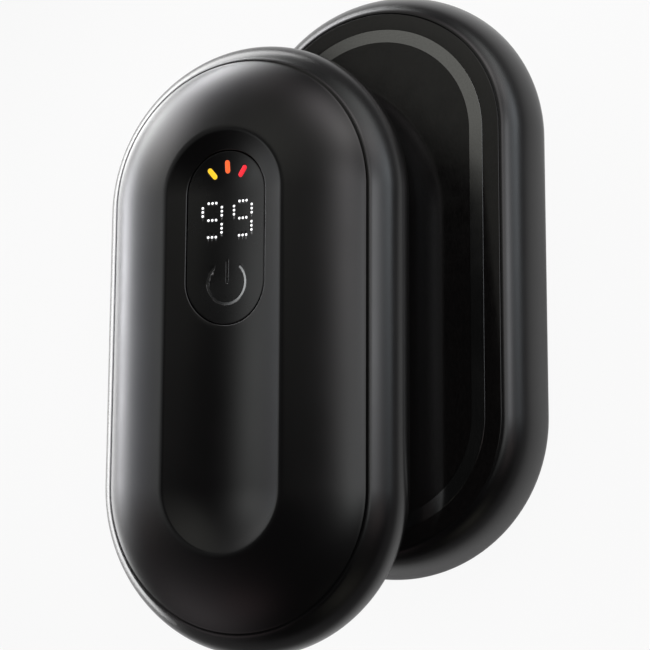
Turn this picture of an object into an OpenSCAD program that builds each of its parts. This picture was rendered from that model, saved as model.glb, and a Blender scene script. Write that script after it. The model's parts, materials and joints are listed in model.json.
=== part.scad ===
/* [Body] */
// Length of one half over its round ends
unit_len = 100; // [93:0.5:118]
// Width of one half at its widest rim
unit_w = 53.7; // [51:0.1:62]
// Thickness of one half, from mating face to crest
unit_t = 19.5; // [18.5:0.1:25]
// Height of the widest rim above the mating face
rim_z = 8.2; // [7.2:0.1:9.6]
// Width of the rolled edge beside the flat mating face
rim_roll = 5; // [4:0.1:5.8]
// Squareness of the rolled edge, 2 being an ellipse
roll_n = 1.65; // [1.5:0.05:2]
// Squareness of the shoulder, 2 being an ellipse
shoulder_n = 2.0; // [1.95:0.05:2.15]
// Thickness of the plastic walls
wall = 1.5; // [1.1:0.05:1.8]
// Thickness of the floor behind the mating panel
floor_t = 1.4; // [1.3:0.05:1.9]
// Height of the seam above the widest rim
seam_rise = 6.65; // [6.2:0.05:7.2]
// Gap between the two shells at the seam
seam_gap = 0.3; // [0.2:0.02:0.4]
// Depth of the skirt that centres the outer shell
skirt_h = 2; // [1.2:0.1:2.6]

/* [Thumb groove] */
// Width of the thumb groove
groove_w = 20; // [19.2:0.1:24]
// Depth of the thumb groove below its edge
groove_depth = 1.4; // [1:0.05:1.8]
// Rounding of the groove's edge
groove_round = 0.3; // [0.2:0.05:0.5]
// Width of the crest ring that the half rests on
crest_w = 0.5; // [0.4:0.05:1.2]

/* [Mating face] */
// Thickness of the mating panel
panel_t = 0.8; // [0.6:0.05:1]
// Gap round the mating panel
panel_gap = 0.05; // [0.02:0.01:0.1]
// Width of the shell's lip round the mating panel
lip_w = 0.2; // [0.15:0.05:0.5]
// Distance from the panel's edge to the inlaid ring
ring_margin = 2.7; // [1.5:0.1:4]
// Width of the inlaid ring
ring_w = 2.25; // [1.6:0.05:3.2]
// Depth of the inlaid ring
ring_t = 0.4; // [0.25:0.05:0.5]
// Gap between the two mating faces
face_gap = 0.2; // [0.1:0.02:0.3]
// Sideways offset of the two halves
slide_x = 17.8; // [14:0.1:20]
// Lengthways offset of the two halves
slide_y = 11.5; // [8:0.1:14]

/* [Key panel] */
// Width of the key panel
key_w = 13.8; // [13.4:0.1:15]
// Length of the key panel
key_len = 27.8; // [26:0.1:30]
// Gap between the key panel and its window
key_gap = 0.15; // [0.1:0.01:0.25]
// Depth of the key panel's face below the groove
key_sink = 0.1; // [0.05:0.01:0.2]
// Thickness of the key panel's flange
flange_t = 0.7; // [0.5:0.05:0.9]
// Width of the flange beyond the window
flange_w = 1.05; // [0.8:0.05:1.4]
// Thickness of the gasket under the window
gasket_t = 0.4; // [0.3:0.05:0.5]
// Distance that the key presses in
key_travel = 0.35; // [0.2:0.01:0.4]

/* [Display] */
// Distance between two digits
digit_pitch = 5.5; // [5.2:0.02:6]
// Width of a digit between its dot columns
digit_w = 3.3; // [3.2:0.02:3.6]
// Height of a digit between its dot rows
digit_h = 5.52; // [5.4:0.02:6]
// Distance between two dots
dot_pitch = 0.66; // [0.6:0.01:0.7]
// Diameter of a dot
dot_d = 0.42; // [0.35:0.01:0.52]
// Depth of the dots and level windows
window_depth = 0.6; // [0.4:0.05:0.8]
// Distance of the digits below the groove's end centre
digit_drop = 4.05; // [3.4:0.05:4.4]
// Distance of the level windows inside the key panel's round end
level_in = 2.5; // [2.1:0.1:2.9]
// Angle between two level windows
level_angle = 38; // [32:1:42]
// Length of a level window
level_len = 2.1; // [1.8:0.05:2.4]
// Width of a level window
level_w = 0.7; // [0.5:0.05:0.9]
// Radius of the power symbol
power_r = 3.35; // [3.1:0.05:3.7]
// Width of the power symbol's stroke
power_stroke = 0.36; // [0.25:0.01:0.45]
// Length of the power symbol's bar
power_bar = 3.7; // [3:0.1:4.2]
// Half of the power symbol's opening angle
power_open = 42; // [30:1:50]
// Depth of the power symbol's engraving
power_depth = 0.3; // [0.2:0.02:0.4]
// Distance of the power symbol below the key panel's end centre
power_drop = 0.25; // [0.1:0.05:0.8]

/* [Charging port] */
// Width of the metal socket
usb_w = 8.94; // [8.4:0.02:9.2]
// Height of the metal socket
usb_h = 3.26; // [3.1:0.02:3.4]
// Depth of the metal socket
usb_len = 7.3; // [6.6:0.1:7.8]
// Thickness of the socket's sheet metal
usb_wall = 0.3; // [0.2:0.02:0.36]
// Width of the contact tongue
tongue_w = 6.7; // [6:0.1:6.9]
// Thickness of the contact tongue
tongue_t = 0.7; // [0.5:0.05:0.8]
// Distance from the mouth to the tongue's tip
tongue_set = 0.9; // [0.5:0.1:1.4]
// Depth of the block that holds the tongue
tongue_block = 1.6; // [1.2:0.1:2]
// Distance of the mouth inside the rim
usb_set = 0.7; // [0.6:0.05:1]
// Gap round the socket in the shell
usb_gap = 0.12; // [0.06:0.02:0.2]

/* [Inside] */
// Thickness of the heating films
film_t = 0.3; // [0.2:0.02:0.4]
// Thickness of the foam pad
pad_t = 1; // [0.8:0.05:1.2]
// Thickness of the inner frame
frame_t = 1; // [0.8:0.05:1.3]
// Height of the posts under the display board
post_h = 0.75; // [0.7:0.05:1]
// Thickness of the circuit boards
board_t = 0.8; // [0.6:0.05:1]
// Half width of the display board
board_r = 11; // [10.6:0.1:12]
// Room at the charging end that the cell leaves free
port_room = 22; // [21.6:0.1:24]
// Width of the main board
main_w = 16; // [15.8:0.1:17]
// Diameter of a magnet
magnet_d = 8; // [6:0.1:8.6]
// Thickness of a magnet
magnet_t = 1.8; // [1.4:0.05:2]
// Diameter of a screw's shank
screw_d = 1.4; // [1.2:0.05:1.6]
// Length of a screw's shank
screw_len = 3; // [2.6:0.1:3.4]
// Diameter of a screw's head
head_d = 2.6; // [2.2:0.05:2.8]
// Diameter of a screw boss
boss_d = 3.8; // [3.4:0.05:4]

/* [Hidden] */
$fn = 64;

// Cuts run past the faces they open by this much
over = 0.5;
// Steps along one quarter of the section
quarter_steps = 12;
// Steps across the groove
dish_steps = 8;
// Steps round the groove's edge
round_steps = 3;

// Plan of one half
half_w = unit_w / 2;
end_c = (unit_len - unit_w) / 2;
groove_r = groove_w / 2;
crest_r = groove_r + groove_round + crest_w;
lip_r = half_w - rim_roll;
seat_r = lip_r - lip_w;
panel_r = seat_r - panel_gap;
floor_r = lip_r - wall;
ring_ro = panel_r - ring_margin;
ring_ri = ring_ro - ring_w;

// Levels counted from the mating face
floor_z = panel_t + floor_t;
film_z = floor_z + film_t;
pad_z = film_z + pad_t;
seam_z = rim_z + seam_rise;
edge_z = unit_t - groove_round;
dish_z = edge_z - groove_depth;
ceiling_z = dish_z - wall;
flange_top = ceiling_z - gasket_t;
flange_z = flange_top - flange_t;

// Exponents of the section
roll_power = 2 / roll_n;
power = 2 / shoulder_n;

// Height of the dome above the widest rim, and the angles at which its two sides reach the crest
dome_h = (unit_t - rim_z) / pow(1 - pow(crest_r / half_w, shoulder_n), 1 / shoulder_n);
crest_t = acos(pow(crest_r / half_w, 1 / power));
crest_in_t = acos(pow(crest_r / (half_w - wall), 1 / power));

// Key panel
key_r = key_w / 2;
window_r = key_r + key_gap;
flange_r = window_r + flange_w;
key_half = (key_len - key_w) / 2;
key_y = end_c - key_half;
power_y = key_y - key_half - power_drop;
digits_y = end_c - digit_drop;
level_r = key_r - level_in;

// Switch and display board
nub_h = 0.5;
nub_r = 1.1;
plunger_out = 0.5;
plunger_in = 0.7;
plunger_r = 1.2;
plunger_fit = 0.05;
switch_h = 1.6;
switch_w = 4.5;
plunger_top = flange_z - nub_h;
switch_top = plunger_top - plunger_out;
board_top = switch_top - switch_h;
board_z = board_top - board_t;
// The board reaches this share of the way from the key to the cell's end
tail_share = 0.33;
tail_y = power_y - tail_share * (power_y + unit_len / 2 - port_room);
module_margin = 1.1;
module_gap = 0.25;
// The light block takes this share of the room between digits and switch
module_share = 0.2;
digits_low = digits_y - digit_h / 2;
module_low = digits_low - module_share * (digits_low - power_y - switch_w / 2);
led_w = 1.6;
led_d = 0.9;
led_h = 0.7;

// Cell and inner frame
frame_top = board_z - post_h;
frame_z = frame_top - frame_t;
cell_gap = 0.3;
cell_top = frame_z - cell_gap;
boss_r = boss_d / 2;
boss_in = 1.45;
boss_x = floor_r - boss_in;
cell_side = 0.6;
cell_x = boss_x - boss_r - cell_side;
cell_y = unit_len / 2 - port_room;
cell_round = 2;
frame_over = 0.5;
frame_x = boss_x + boss_r;
frame_near = cell_y + frame_over;
post_r = 1.6;
post_rim = 0.8;
pin_r = 0.7;
pin_fit = 0.05;
pin_out = 0.3;
post_x = 8.4;
post_inset = 4;
post_y = end_c + post_inset - flange_w;
frame_far = post_y + post_r + post_rim;

// Magnets and mating film
magnet_r = magnet_d / 2;
magnet_fit = 0.05;
magnet_in = 1.5;
magnet_back = 1.2;
magnet_sunk = 1;
magnet_x = floor_r - magnet_r - magnet_in;
magnet_y = end_c - magnet_back;
boss_step = 12;
boss_y = magnet_y - boss_step;
film_side = 1;
film_r = magnet_x - magnet_r - film_side;
film_c = magnet_y - magnet_r;

// Screws
screw_r = screw_d / 2;
head_r = head_d / 2;
head_h = 0.7;
screw_fit = 0.02;
hole_fit = 0.15;
slot_w = 0.3;
slot_len = 1.5;
slot_deep = 0.35;

// Main board and socket
usb_z = rim_z;
usb_y = usb_set - unit_len / 2;
usb_back = usb_y + usb_len;
main_top = usb_z - usb_h / 2;
main_z = main_top - board_t;
main_front = 3.8;
main_back = 2.5;
main_y0 = usb_y + main_front;
main_y1 = -cell_y - main_back;
main_screw_x = 5.7;
main_screw_in = 2.9;
main_screw_y = main_y1 - main_screw_in;
chip_back = 1.2;
chip_y = usb_back + chip_back;

// Outer film, skirt and seam
film_gap = 0.08;
film_low = 4;
film_high = 5;
skirt_root = 0.5;
skirt_fit = 0.1;
seal_in = 0.3;
seal_w = 0.8;

// Flat cable and cell tabs
cable_w = 4.4;
cable_t = 0.2;
cable_back = 1.2;
cable_foot = 3;
cable_end = 3;
tab_w = 1.8;
tab_t = 0.2;
tab_x = 3.6;
tab_drop = 1;
tab_out = 3.6;

// Colours
satin = "#232228";
panel_black = "#121216";
key_black = "#26252b";
ring_grey = "#5a5a60";
board_green = "#1f5a3a";
metal = "#b9bcc2";

// Section of the outside, from the mating face's edge to the widest rim
function lower_out(t) = [
    lip_r + rim_roll * pow(sin(t), roll_power),
    rim_z * (1 - pow(cos(t), roll_power))
];

// Section of the outside, from the widest rim to the crest. It is part of a dome over the middle line.
function upper_out(t) = [
    half_w * pow(cos(t), power),
    rim_z + dome_h * pow(sin(t), power)
];

// Section of the inside, from the floor's corner to the widest rim
function lower_in(t) = [
    floor_r + (half_w - wall - floor_r) * pow(sin(t), roll_power),
    floor_z + (rim_z - floor_z) * (1 - pow(cos(t), roll_power))
];

// Section of the inside above the widest rim, moved inwards by off
function upper_in(t, off = 0) = [
    (half_w - wall - off) * pow(cos(t), power),
    rim_z + (dome_h - wall - off) * pow(sin(t), power)
];

// Angles at which the outside and the inside reach a height
function out_angle(z) = asin(pow((z - rim_z) / dome_h, 1 / power));
function in_angle(z) = asin(pow((z - rim_z) / (dome_h - wall), 1 / power));

// Height of the groove's floor at a distance from its middle line
function dish_at(r) = dish_z + groove_depth * pow(r / groove_r, 2);

// Turns a section round the plan's centre line, which is a stadium
module stadium_sweep(points, centre) {
    for (turn = [0, 180])
        rotate([0, 0, turn]) {
            translate([0, centre, 0])
                rotate_extrude(angle = 180)
                    polygon(points);
            rotate([90, 0, 0])
                linear_extrude(2 * centre, center = true)
                    polygon(points);
        }
}

// Flat stadium plate from z0 to z1
module stadium_plate(r, centre, z0, z1) {
    stadium_sweep([[0, z0], [r, z0], [r, z1], [0, z1]], centre);
}

// Flat stadium ring from z0 to z1
module stadium_ring(r0, r1, centre, z0, z1) {
    stadium_sweep([[r0, z0], [r1, z0], [r1, z1], [r0, z1]], centre);
}

// Plain block between two corners
module block(low, high) {
    translate(low)
        cube(high - low);
}

// Slot outline with round ends, lying across X
module slot_outline(w, h) {
    square([w - h, h], center = true);
    for (side = [-1, 1])
        translate([side * (w - h) / 2, 0])
            circle(h / 2);
}

// Places a child at each corner of a rectangle
module at_corners(x, y) {
    for (sx = [-1, 1], sy = [-1, 1])
        translate([sx * x, sy * y, 0])
            children();
}

// Places a child on both sides of the middle plane
module at_sides(x, y) {
    for (sx = [-1, 1])
        translate([sx * x, y, 0])
            children();
}

// Cover with the thumb groove, from the seam to the crest
module outer_shell() {
    seam_t = out_angle(seam_z);
    root_t = in_angle(seam_z + skirt_root);
    skirt_in = upper_in(root_t)[0];
    skirt_out = upper_in(in_angle(seam_z))[0] - skirt_fit;
    outside = concat(
        [for (i = [0:quarter_steps - 1]) upper_out(seam_t + (crest_t - seam_t) * i / quarter_steps)],
        [[crest_r, unit_t]]
    );
    edge = [for (i = [0:round_steps]) [
        groove_r + groove_round * (1 - sin(90 * i / round_steps)),
        unit_t - groove_round * (1 - cos(90 * i / round_steps))
    ]];
    dish = [for (i = [1:dish_steps])
        let (r = groove_r * (1 - i / dish_steps)) [r, dish_at(r)]];
    inside = [for (i = [0:quarter_steps])
        upper_in(crest_in_t - (crest_in_t - root_t) * i / quarter_steps)];
    skirt = [
        [skirt_in, seam_z - skirt_h],
        [skirt_out, seam_z - skirt_h],
        [skirt_out, seam_z]
    ];
    color(satin)
        difference() {
            stadium_sweep(
                concat(outside, edge, dish, [[0, ceiling_z], [crest_r, ceiling_z]], inside, skirt),
                end_c
            );
            translate([0, key_y, 0])
                stadium_plate(window_r, key_half, ceiling_z - over, unit_t);
        }
}

// Tub with the rolled rim, the floor, the screw bosses and the port's hole
module mating_shell() {
    top_z = seam_z - seam_gap;
    out_t = out_angle(top_z);
    in_t = in_angle(top_z);
    rim = [for (i = [0:quarter_steps]) lower_out(90 * i / quarter_steps)];
    shoulder = [for (i = [1:quarter_steps]) upper_out(out_t * i / quarter_steps)];
    inside = [for (i = [0:quarter_steps]) upper_in(in_t * (1 - i / quarter_steps))];
    belly = [for (i = [1:quarter_steps]) lower_in(90 * (1 - i / quarter_steps))];
    seat = [[0, floor_z], [0, panel_t], [seat_r, panel_t], [seat_r, 0]];
    color(satin)
        difference() {
            union() {
                stadium_sweep(concat(rim, shoulder, inside, belly, seat), end_c);
                at_corners(boss_x, boss_y)
                    boss(frame_z);
                at_sides(main_screw_x, main_screw_y)
                    boss(main_z);
            }
            at_corners(boss_x, boss_y)
                pilot(frame_z, frame_t);
            at_sides(main_screw_x, main_screw_y)
                pilot(main_z, board_t);
            at_corners(magnet_x, magnet_y)
                translate([0, 0, floor_z - magnet_sunk])
                    cylinder(r = magnet_r + magnet_fit, h = magnet_sunk + over);
            translate([0, usb_y, usb_z])
                rotate([90, 0, 0])
                    linear_extrude(2 * (usb_set + wall), center = true)
                        slot_outline(usb_w + 2 * usb_gap, usb_h + 2 * usb_gap);
        }
}

// Screw boss from the floor up to a height
module boss(top) {
    translate([0, 0, panel_t + floor_t / 2])
        cylinder(r = boss_r, h = top - panel_t - floor_t / 2);
}

// Pilot hole of a screw whose head lies on a plate above the boss
module pilot(top, plate) {
    deep = min(screw_len - plate + slot_deep, top - floor_z);
    translate([0, 0, top - deep])
        cylinder(r = screw_r + screw_fit, h = deep + over);
}

// Thin seal between the shells, set back from the surface
module seam_gasket() {
    outside = upper_out(out_angle(seam_z))[0] - seal_in;
    color("#0c0c0e")
        stadium_ring(outside - seal_w, outside, end_c, seam_z - seam_gap, seam_z);
}

// Dark panel of the mating face, with the groove of the inlaid ring
module mating_panel() {
    color(panel_black)
        difference() {
            stadium_plate(panel_r, end_c, 0, panel_t);
            stadium_ring(ring_ri, ring_ro, end_c, -over, ring_t);
        }
}

// Grey ring inlaid in the mating face
module mating_ring() {
    color(ring_grey)
        stadium_ring(ring_ri, ring_ro, end_c, 0, ring_t);
}

// Four disc magnets in the floor's pockets
module magnets() {
    color(metal)
        at_corners(magnet_x, magnet_y)
            translate([0, 0, floor_z - magnet_sunk])
                cylinder(r = magnet_r, h = magnet_t);
}

// Flat heating film on the floor
module mating_heater() {
    color("#c8842c")
        stadium_plate(film_r, film_c, floor_z, film_z);
}

// Foam pad between the film and the cell
module foam_pad() {
    color("#3a3a3c")
        stadium_plate(film_r, film_c, film_z, pad_z);
}

// Pouch cell with rounded corners
module battery_cell() {
    color("#8d9298")
        union() {
            block([cell_round - cell_x, -cell_y, pad_z], [cell_x - cell_round, cell_y, cell_top]);
            block([-cell_x, cell_round - cell_y, pad_z], [cell_x, cell_y - cell_round, cell_top]);
            at_corners(cell_x - cell_round, cell_y - cell_round)
                translate([0, 0, pad_z])
                    cylinder(r = cell_round, h = cell_top - pad_z);
        }
}

// Two bent strips from the cell down to the main board
module battery_tabs() {
    tab_z = cell_top - tab_drop;
    color(metal)
        at_sides(tab_x, -cell_y)
            union() {
                block([-tab_w / 2, -tab_out, tab_z], [tab_w / 2, 0, tab_z + tab_t]);
                block([-tab_w / 2, -tab_out, main_top], [tab_w / 2, tab_t - tab_out, tab_z + tab_t]);
            }
}

// Plate over the cell, with the posts and pins of the display board
module inner_frame() {
    color("#3d4046")
        difference() {
            union() {
                block([-cell_x, -frame_near, frame_z], [cell_x, frame_far, frame_top]);
                block([-frame_x, -boss_y - boss_r, frame_z], [frame_x, boss_y + boss_r, frame_top]);
                board_posts(frame_z, post_r, board_z);
                board_posts(frame_z, pin_r, board_top + pin_out);
            }
            at_corners(boss_x, boss_y)
                translate([0, 0, frame_z - over])
                    cylinder(r = screw_r + hole_fit, h = frame_t + 2 * over);
        }
}

// Round posts at the display board's four holes
module board_posts(z0, r, z1) {
    for (y = [post_y, tail_y + post_inset])
        at_sides(post_x, y)
            translate([0, 0, z0])
                cylinder(r = r, h = z1 - z0);
}

// Six equal screws: four hold the frame and two the main board
module screws() {
    color(metal) {
        at_corners(boss_x, boss_y)
            screw(frame_top);
        at_sides(main_screw_x, main_screw_y)
            screw(main_top);
    }
}

// One screw with its head on a face at height z
module screw(z) {
    translate([0, 0, z])
        difference() {
            union() {
                translate([0, 0, -screw_len])
                    cylinder(r = screw_r, h = screw_len);
                cylinder(r = head_r, h = head_h);
            }
            for (turn = [0, 90])
                rotate([0, 0, turn])
                    block(
                        [-slot_len / 2, -slot_w / 2, head_h - slot_deep],
                        [slot_len / 2, slot_w / 2, head_h + over]
                    );
        }
}

// Main board at the charging end
module main_board() {
    color(board_green)
        difference() {
            block([-main_w / 2, main_y0, main_z], [main_w / 2, main_y1, main_top]);
            at_sides(main_screw_x, main_screw_y)
                translate([0, 0, main_z - over])
                    cylinder(r = screw_r + hole_fit, h = board_t + 2 * over);
        }
}

// Controller, coil and capacitor on the main board, driver on the display board
module board_chips() {
    chip_w = 3.4;
    chip_h = 0.8;
    coil_r = 1.5;
    coil_h = 1.6;
    cap_w = 1.2;
    cap_h = 0.9;
    chip_gap = 2.4;
    color("#1a1a1c") {
        block([-chip_w / 2, chip_y, main_top], [chip_w / 2, chip_y + chip_w, main_top + chip_h]);
        block(
            [-chip_w / 2, tail_y - chip_w / 2, board_top],
            [chip_w / 2, tail_y + chip_w / 2, board_top + chip_h]
        );
    }
    color("#5c5f66")
        translate([-chip_w / 2 - chip_gap, chip_y + coil_r, main_top])
            cylinder(r = coil_r, h = coil_h);
    color("#b08d57")
        block(
            [chip_w / 2 + chip_gap - cap_w, chip_y, main_top],
            [chip_w / 2 + chip_gap, chip_y + 2 * cap_w, main_top + cap_h]
        );
}

// Metal shell of the charging socket
module usb_socket() {
    color(metal)
        translate([0, usb_back, usb_z])
            rotate([90, 0, 0])
                linear_extrude(usb_len)
                    difference() {
                        slot_outline(usb_w, usb_h);
                        slot_outline(usb_w - 2 * usb_wall, usb_h - 2 * usb_wall);
                    }
}

// Contact tongue and the block that holds it
module usb_tongue() {
    color("#151517")
        translate([0, usb_back, usb_z])
            rotate([90, 0, 0])
                union() {
                    linear_extrude(tongue_block)
                        slot_outline(usb_w - 2 * usb_wall, usb_h - 2 * usb_wall);
                    linear_extrude(usb_len - tongue_set)
                        square([tongue_w, tongue_t], center = true);
                }
}

// Flat cable from the main board over the frame to the display board
module flat_cable() {
    leg_y = -cell_y - cable_back;
    half = cable_w / 2;
    color("#c9702a")
        union() {
            block([-half, leg_y - cable_foot, main_top], [half, leg_y, main_top + cable_t]);
            block([-half, leg_y - cable_t, main_top], [half, leg_y, frame_top + cable_t]);
            block(
                [-half, leg_y - cable_t, frame_top],
                [half, tail_y - board_r + 2 * cable_end, frame_top + cable_t]
            );
        }
}

// Board under the key panel, with the cable's connector below it
module display_board() {
    half = cable_w / 2;
    plug_y = tail_y - board_r + cable_end;
    color(board_green)
        difference() {
            union() {
                translate([0, (end_c + tail_y) / 2, 0])
                    stadium_plate(board_r, (end_c - tail_y) / 2, board_z, board_top);
                block([-half, plug_y, frame_top + cable_t], [half, plug_y + cable_end, board_z]);
            }
            board_posts(board_z - over, pin_r + pin_fit, board_top + over);
        }
}

// Light block of the two digits
module display_module() {
    x = (digit_pitch + digit_w) / 2 + module_margin;
    high = digits_y + digit_h / 2 + module_margin;
    color("#e8e8e4")
        block([-x, module_low, board_top], [x, high, flange_z - key_travel - module_gap]);
}

// One light under each level window
module level_leds() {
    color("#f4f0d8")
        for (step = [-1, 0, 1])
            level_place(step)
                translate([0, 0, board_top + led_h / 2])
                    cube([led_d, led_w, led_h], center = true);
}

// Places a child at one of the three level windows
module level_place(step) {
    translate([0, end_c, 0])
        rotate([0, 0, -step * level_angle])
            translate([0, level_r, 0])
                children();
}

// Body of the key switch
module tact_switch() {
    color("#2c2c30")
        translate([0, power_y, 0])
            difference() {
                translate([0, 0, board_top + switch_h / 2])
                    cube([switch_w, switch_w, switch_h], center = true);
                translate([0, 0, switch_top - plunger_in - key_travel])
                    cylinder(r = plunger_r + plunger_fit, h = plunger_in + key_travel + over);
            }
}

// Plunger of the key switch
module switch_plunger() {
    color("#d8d2c4")
        translate([0, power_y, switch_top - plunger_in])
            cylinder(r = plunger_r, h = plunger_in + plunger_out);
}

// Heating film inside the outer shell, following its shoulder
module outer_heater() {
    start_t = in_angle(seam_z + skirt_root) + film_low;
    end_t = crest_in_t - film_high;
    near = [for (i = [0:quarter_steps])
        upper_in(start_t + (end_t - start_t) * i / quarter_steps, film_gap)];
    far = [for (i = [0:quarter_steps])
        upper_in(end_t - (end_t - start_t) * i / quarter_steps, film_gap + film_t)];
    color("#c8842c")
        stadium_sweep(concat(near, far), end_c);
}

// Soft ring between the key panel's flange and the shell
module key_gasket() {
    color("#0c0c0e")
        translate([0, key_y, 0])
            stadium_ring(window_r, flange_r, key_half, flange_top, ceiling_z);
}

// Solid of the key panel before its windows are cut
module key_solid() {
    reach = end_c + groove_r;
    face = [for (i = [0:dish_steps])
        let (r = groove_r * (1 - i / dish_steps)) [r, dish_at(r) - key_sink]];
    union() {
        intersection() {
            translate([0, key_y, 0])
                stadium_plate(key_r, key_half, flange_z, edge_z);
            stadium_sweep(concat([[0, flange_z - over], [groove_r, flange_z - over]], face), end_c);
        }
        translate([0, key_y, 0])
            stadium_plate(flange_r, key_half, flange_z, flange_top);
        translate([0, power_y, plunger_top])
            cylinder(r = nub_r, h = nub_h + flange_t / 2);
    }
}

// Columns of all the dots of the two digits
module dot_columns() {
    for (digit = [-1, 1], bar = nine_bar_shares, k = [-1, 0, 1])
        translate([
            digit * digit_pitch / 2 + bar[0] * digit_w / 2 + (1 - bar[2]) * k * dot_pitch,
            digits_y + bar[1] * digit_h / 4 + bar[2] * k * dot_pitch,
            dish_z - window_depth
        ])
            cylinder(d = dot_d, h = window_depth + groove_depth, $fn = 24);
}

// Bars of a nine: side, height in quarters, and whether it stands up
nine_bar_shares = [[0, 2, 0], [-1, 1, 1], [1, 1, 1], [0, 0, 0], [1, -1, 1], [0, -2, 0]];

// Column of one level window
module level_column(step) {
    level_place(step)
        translate([0, 0, dish_z - window_depth])
            rotate([0, 0, 90])
                linear_extrude(window_depth + groove_depth)
                    slot_outline(level_len, level_w);
}

// Outline of the power symbol
module power_outline() {
    far = 2 * power_r;
    difference() {
        circle(power_r + power_stroke / 2);
        circle(power_r - power_stroke / 2);
        polygon([[0, 0], [-far * sin(power_open), far * cos(power_open)],
            [far * sin(power_open), far * cos(power_open)]]);
    }
    translate([-power_stroke / 2, power_r - power_bar + power_stroke / 2])
        square([power_stroke, power_bar]);
}

// Key panel with its engraved power symbol and light windows
module key_panel() {
    color(key_black)
        difference() {
            key_solid();
            dot_columns();
            for (step = [-1, 0, 1])
                level_column(step);
            translate([0, power_y, dish_z - key_sink - power_depth])
                linear_extrude(groove_depth + power_depth)
                    power_outline();
        }
}

// White dots of the digits, flush with the key panel
module digit_dots() {
    color("white")
        intersection() {
            key_solid();
            dot_columns();
        }
}

// One coloured level window, flush with the key panel
module level_window(step, tint) {
    color(tint)
        intersection() {
            key_solid();
            level_column(step);
        }
}

// The upper half lies on the lower one, outer face up, slid towards the front left
module upper_half() {
    translate([-slide_x / 2, -slide_y / 2, unit_t + face_gap])
        children();
}

// The lower half is the same half turned over, end for end, on its crest
module lower_half() {
    translate([slide_x / 2, slide_y / 2, unit_t])
        rotate([180, 0, 0])
            children();
}

upper_half() outer_shell();  // upper_outer_shell
upper_half() mating_shell();  // upper_mating_shell
upper_half() seam_gasket();  // upper_seam_gasket
upper_half() mating_panel();  // upper_mating_panel
upper_half() mating_ring();  // upper_mating_ring
upper_half() magnets();  // upper_magnets
upper_half() mating_heater();  // upper_mating_heater
upper_half() foam_pad();  // upper_foam_pad
upper_half() battery_cell();  // upper_battery_cell
upper_half() battery_tabs();  // upper_battery_tabs
upper_half() inner_frame();  // upper_inner_frame
upper_half() screws();  // upper_screws
upper_half() main_board();  // upper_main_board
upper_half() board_chips();  // upper_board_chips
upper_half() usb_socket();  // upper_usb_socket
upper_half() usb_tongue();  // upper_usb_tongue
upper_half() flat_cable();  // upper_flat_cable
upper_half() display_board();  // upper_display_board
upper_half() display_module();  // upper_display_module
upper_half() level_leds();  // upper_level_leds
upper_half() tact_switch();  // upper_tact_switch
upper_half() switch_plunger();  // upper_switch_plunger
upper_half() outer_heater();  // upper_outer_heater
upper_half() key_gasket();  // upper_key_gasket
upper_half() key_panel();  // upper_key_panel
upper_half() digit_dots();  // upper_digit_dots
upper_half() level_window(-1, "gold");  // upper_level_low
upper_half() level_window(0, "orangered");  // upper_level_mid
upper_half() level_window(1, "crimson");  // upper_level_high
lower_half() outer_shell();  // lower_outer_shell
lower_half() mating_shell();  // lower_mating_shell
lower_half() seam_gasket();  // lower_seam_gasket
lower_half() mating_panel();  // lower_mating_panel
lower_half() mating_ring();  // lower_mating_ring
lower_half() magnets();  // lower_magnets
lower_half() mating_heater();  // lower_mating_heater
lower_half() foam_pad();  // lower_foam_pad
lower_half() battery_cell();  // lower_battery_cell
lower_half() battery_tabs();  // lower_battery_tabs
lower_half() inner_frame();  // lower_inner_frame
lower_half() screws();  // lower_screws
lower_half() main_board();  // lower_main_board
lower_half() board_chips();  // lower_board_chips
lower_half() usb_socket();  // lower_usb_socket
lower_half() usb_tongue();  // lower_usb_tongue
lower_half() flat_cable();  // lower_flat_cable
lower_half() display_board();  // lower_display_board
lower_half() display_module();  // lower_display_module
lower_half() level_leds();  // lower_level_leds
lower_half() tact_switch();  // lower_tact_switch
lower_half() switch_plunger();  // lower_switch_plunger
lower_half() outer_heater();  // lower_outer_heater
lower_half() key_gasket();  // lower_key_gasket
lower_half() key_panel();  // lower_key_panel
lower_half() digit_dots();  // lower_digit_dots
lower_half() level_window(-1, "gold");  // lower_level_low
lower_half() level_window(0, "orangered");  // lower_level_mid
lower_half() level_window(1, "crimson");  // lower_level_high
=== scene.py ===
"""Studio scene of a pair of pill-shaped, rechargeable hand warmers.

One half lies on the other, slid across it. Each half is built in its own frame in millimetres, with the
mating face at z 0, the outer face up and the charging port at -Y, and is then placed in the shared frame
in metres. A height in a section or a row is a number or a function of x and y.
"""
import json
import math

import bmesh
import bpy
import numpy as np
from mathutils import Matrix, Vector
from mathutils.bvhtree import BVHTree
from mathutils.interpolate import poly_3d_calc


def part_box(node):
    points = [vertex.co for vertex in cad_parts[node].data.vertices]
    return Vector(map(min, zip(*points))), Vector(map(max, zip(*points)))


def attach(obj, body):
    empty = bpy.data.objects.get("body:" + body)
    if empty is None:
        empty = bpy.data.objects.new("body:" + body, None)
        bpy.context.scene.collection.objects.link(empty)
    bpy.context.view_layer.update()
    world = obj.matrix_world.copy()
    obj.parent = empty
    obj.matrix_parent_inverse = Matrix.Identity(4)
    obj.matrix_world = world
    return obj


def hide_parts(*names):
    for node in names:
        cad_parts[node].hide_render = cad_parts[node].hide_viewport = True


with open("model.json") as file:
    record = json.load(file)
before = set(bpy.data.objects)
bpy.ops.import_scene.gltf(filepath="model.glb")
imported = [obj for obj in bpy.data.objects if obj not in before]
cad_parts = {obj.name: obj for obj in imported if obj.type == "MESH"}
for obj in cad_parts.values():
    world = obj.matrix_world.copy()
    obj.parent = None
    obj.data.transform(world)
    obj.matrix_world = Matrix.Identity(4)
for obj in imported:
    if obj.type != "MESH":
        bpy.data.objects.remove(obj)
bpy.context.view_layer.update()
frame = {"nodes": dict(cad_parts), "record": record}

MM = 0.001


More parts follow.
